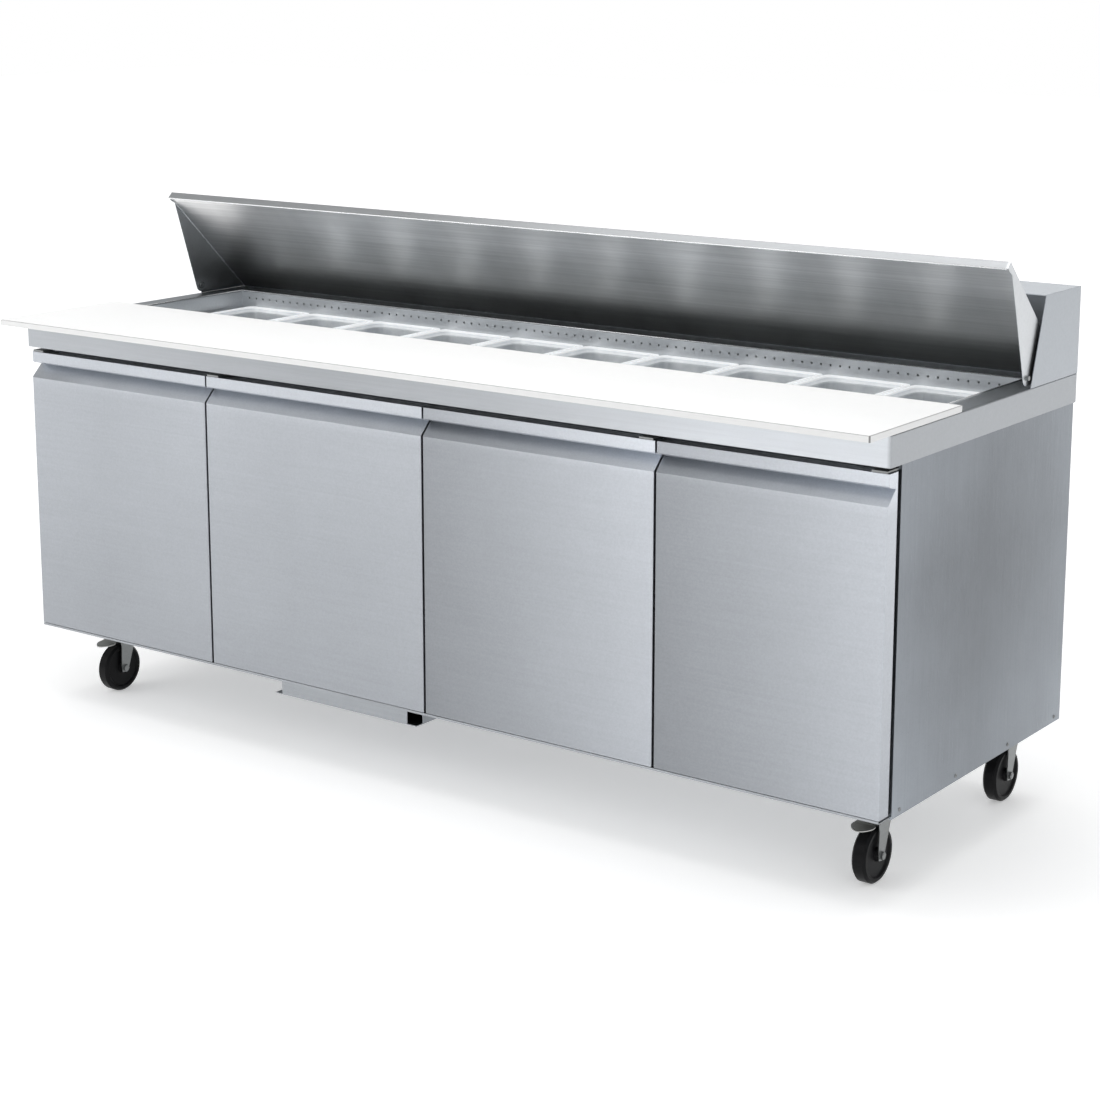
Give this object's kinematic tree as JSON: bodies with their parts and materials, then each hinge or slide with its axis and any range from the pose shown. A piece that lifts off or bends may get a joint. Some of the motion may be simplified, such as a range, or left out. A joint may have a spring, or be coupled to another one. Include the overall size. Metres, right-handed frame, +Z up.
{
  "type": "sandwich prep table",
  "caption": "Long refrigerated sandwich prep table: stainless cabinet with front doors, white cutting board, row of clear food pans under a rear-hinged lid, on swivel casters.",
  "frame": {"origin": "on the floor, under the centre of the outer box at rest (lid open, doors shut)", "axes": "+X along the length, to the right of a person standing at the cutting board; +Y to the back; +Z up"},
  "size_m": [2.362, 0.912, 1.2282],
  "materials": {
    "steel_brushed": "satin, fine horizontal grain",
    "steel_galvanised": "dull galvanised",
    "steel_zinc": "zinc plated",
    "board_white": "fine matt texture",
    "gasket": "soft matt vinyl",
    "liner_steel": "satin",
    "foam": "rigid polyurethane foam",
    "pan_clear": "clear polycarbonate",
    "wheel_black": "matt hard rubber",
    "black_enamel": "semi-gloss black enamel",
    "coil_aluminium": "bare fins",
    "abs_white": "smooth moulded",
    "black_plastic": "moulded",
    "shelf_coated": "epoxy coated wire"
  },
  "bodies": {
    "cabinet": {"worktop": "steel_brushed", "side_panels": "steel_brushed", "back_panel": "steel_galvanised", "base_panel": "steel_galvanised", "front_frame": "steel_brushed", "interior_liner": "liner_steel", "insulation": "foam", "pan_well": "steel_brushed", "pan_rails": "steel_brushed", "rear_hood": "steel_brushed", "hinge_brackets": "steel_zinc", "caster_mounts": "steel_zinc", "unit_tray": "steel_galvanised", "compressor": "black_enamel", "condenser_coil": "coil_aluminium", "fan_shroud": "steel_galvanised", "rear_grille": "steel_galvanised", "cord_gland": "black_plastic", "evaporator_housing": "abs_white", "evaporator_coil": "coil_aluminium", "wire_shelves": "shelf_coated"},
    "board": {"cutting_board": "board_white"},
    "lid": {"lid_shell": "steel_brushed", "lid_core": "foam", "lid_inner_panel": "steel_brushed"},
    "door_1": {"door_1_shell": "steel_brushed", "door_1_liner": "liner_steel", "door_1_gasket": "gasket"},
    "door_2": {"door_2_shell": "steel_brushed", "door_2_liner": "liner_steel", "door_2_gasket": "gasket"},
    "door_3": {"door_3_shell": "steel_brushed", "door_3_liner": "liner_steel", "door_3_gasket": "gasket"},
    "door_4": {"door_4_shell": "steel_brushed", "door_4_liner": "liner_steel", "door_4_gasket": "gasket"},
    "pan_01": {"food_pan_01": "pan_clear"},
    "pan_02": {"food_pan_02": "pan_clear"},
    "pan_03": {"food_pan_03": "pan_clear"},
    "pan_04": {"food_pan_04": "pan_clear"},
    "pan_05": {"food_pan_05": "pan_clear"},
    "pan_06": {"food_pan_06": "pan_clear"},
    "pan_07": {"food_pan_07": "pan_clear"},
    "pan_08": {"food_pan_08": "pan_clear"},
    "pan_09": {"food_pan_09": "pan_clear"},
    "pan_10": {"food_pan_10": "pan_clear"},
    "fork_front_left": {"caster_fork_front_left": "steel_zinc"},
    "wheel_front_left": {"caster_wheel_front_left": "wheel_black"},
    "fork_front_right": {"caster_fork_front_right": "steel_zinc"},
    "wheel_front_right": {"caster_wheel_front_right": "wheel_black"},
    "fork_rear_left": {"caster_fork_rear_left": "steel_zinc"},
    "wheel_rear_left": {"caster_wheel_rear_left": "wheel_black"},
    "fork_rear_right": {"caster_fork_rear_right": "steel_zinc"},
    "wheel_rear_right": {"caster_wheel_rear_right": "wheel_black"},
    "pedal_left": {"brake_pedal_left": "steel_zinc"},
    "pedal_right": {"brake_pedal_right": "steel_zinc"},
    "condenser_fan_rotor": {"condenser_fan": "black_plastic"},
    "evaporator_fan_rotor": {"evaporator_fan": "black_plastic"},
    "dial": {"thermostat_dial": "black_plastic"}
  },
  "joints": [
    {"name": "lid_hinge", "type": "hinge", "parent": "cabinet", "child": "lid", "pos_m": [0, 0.22, 0.978], "axis": [-1, 0, 0], "range_deg": [-69.5, 0]},
    {"name": "board_lift", "type": "slide", "parent": "cabinet", "child": "board", "axis": [0, 0, 1], "range_m": [0, 0.1]},
    {"name": "door_1_hinge", "type": "hinge", "parent": "cabinet", "child": "door_1", "pos_m": [-1.163, -0.356, 0.52], "axis": [0, 0, -1], "range_deg": [0, 100]},
    {"name": "door_2_hinge", "type": "hinge", "parent": "cabinet", "child": "door_2", "pos_m": [-0.5775, -0.356, 0.52], "axis": [0, 0, -1], "range_deg": [0, 100]},
    {"name": "door_3_hinge", "type": "hinge", "parent": "cabinet", "child": "door_3", "pos_m": [0.6365, -0.356, 0.52], "axis": [0, 0, 1], "range_deg": [0, 100]},
    {"name": "door_4_hinge", "type": "hinge", "parent": "cabinet", "child": "door_4", "pos_m": [1.163, -0.356, 0.52], "axis": [0, 0, 1], "range_deg": [0, 100]},
    {"name": "pan_01_lift", "type": "slide", "parent": "cabinet", "child": "pan_01", "axis": [0, 0, 1], "range_m": [0, 0.06]},
    {"name": "pan_02_lift", "type": "slide", "parent": "cabinet", "child": "pan_02", "axis": [0, 0, 1], "range_m": [0, 0.06]},
    {"name": "pan_03_lift", "type": "slide", "parent": "cabinet", "child": "pan_03", "axis": [0, 0, 1], "range_m": [0, 0.06]},
    {"name": "pan_04_lift", "type": "slide", "parent": "cabinet", "child": "pan_04", "axis": [0, 0, 1], "range_m": [0, 0.06]},
    {"name": "pan_05_lift", "type": "slide", "parent": "cabinet", "child": "pan_05", "axis": [0, 0, 1], "range_m": [0, 0.06]},
    {"name": "pan_06_lift", "type": "slide", "parent": "cabinet", "child": "pan_06", "axis": [0, 0, 1], "range_m": [0, 0.06]},
    {"name": "pan_07_lift", "type": "slide", "parent": "cabinet", "child": "pan_07", "axis": [0, 0, 1], "range_m": [0, 0.06]},
    {"name": "pan_08_lift", "type": "slide", "parent": "cabinet", "child": "pan_08", "axis": [0, 0, 1], "range_m": [0, 0.06]},
    {"name": "pan_09_lift", "type": "slide", "parent": "cabinet", "child": "pan_09", "axis": [0, 0, 1], "range_m": [0, 0.06]},
    {"name": "pan_10_lift", "type": "slide", "parent": "cabinet", "child": "pan_10", "axis": [0, 0, 1], "range_m": [0, 0.06]},
    {"name": "swivel_front_left", "type": "hinge", "parent": "cabinet", "child": "fork_front_left", "pos_m": [-1.078, -0.174, 0.142], "axis": [0, 0, 1], "continuous": true},
    {"name": "roll_front_left", "type": "hinge", "parent": "fork_front_left", "child": "wheel_front_left", "pos_m": [-1.078, -0.209, 0.06], "axis": [1, 0, 0], "continuous": true},
    {"name": "swivel_front_right", "type": "hinge", "parent": "cabinet", "child": "fork_front_right", "pos_m": [1.078, -0.174, 0.142], "axis": [0, 0, 1], "continuous": true},
    {"name": "roll_front_right", "type": "hinge", "parent": "fork_front_right", "child": "wheel_front_right", "pos_m": [1.078, -0.209, 0.06], "axis": [1, 0, 0], "continuous": true},
    {"name": "swivel_rear_left", "type": "hinge", "parent": "cabinet", "child": "fork_rear_left", "pos_m": [-1.078, 0.412, 0.142], "axis": [0, 0, 1], "continuous": true},
    {"name": "roll_rear_left", "type": "hinge", "parent": "fork_rear_left", "child": "wheel_rear_left", "pos_m": [-1.078, 0.377, 0.06], "axis": [1, 0, 0], "continuous": true},
    {"name": "swivel_rear_right", "type": "hinge", "parent": "cabinet", "child": "fork_rear_right", "pos_m": [1.078, 0.412, 0.142], "axis": [0, 0, 1], "continuous": true},
    {"name": "roll_rear_right", "type": "hinge", "parent": "fork_rear_right", "child": "wheel_rear_right", "pos_m": [1.078, 0.377, 0.06], "axis": [1, 0, 0], "continuous": true},
    {"name": "brake_left", "type": "hinge", "parent": "fork_front_left", "child": "pedal_left", "pos_m": [-1.078, -0.213, 0.1376], "axis": [1, 0, 0], "range_deg": [0, 14]},
    {"name": "brake_right", "type": "hinge", "parent": "fork_front_right", "child": "pedal_right", "pos_m": [1.078, -0.213, 0.1376], "axis": [1, 0, 0], "range_deg": [0, 14]},
    {"name": "condenser_fan_spin", "type": "hinge", "parent": "cabinet", "child": "condenser_fan_rotor", "pos_m": [-0.325, 0.343, 0.257], "axis": [0, 1, 0], "continuous": true},
    {"name": "evaporator_fan_spin", "type": "hinge", "parent": "cabinet", "child": "evaporator_fan_rotor", "pos_m": [0.34, 0.3005, 0.6], "axis": [0, 1, 0], "continuous": true},
    {"name": "thermostat_turn", "type": "hinge", "parent": "cabinet", "child": "dial", "pos_m": [0.578, 0.3335, 0.585], "axis": [0, -1, 0], "range_deg": [-135, 135]}
  ]
}
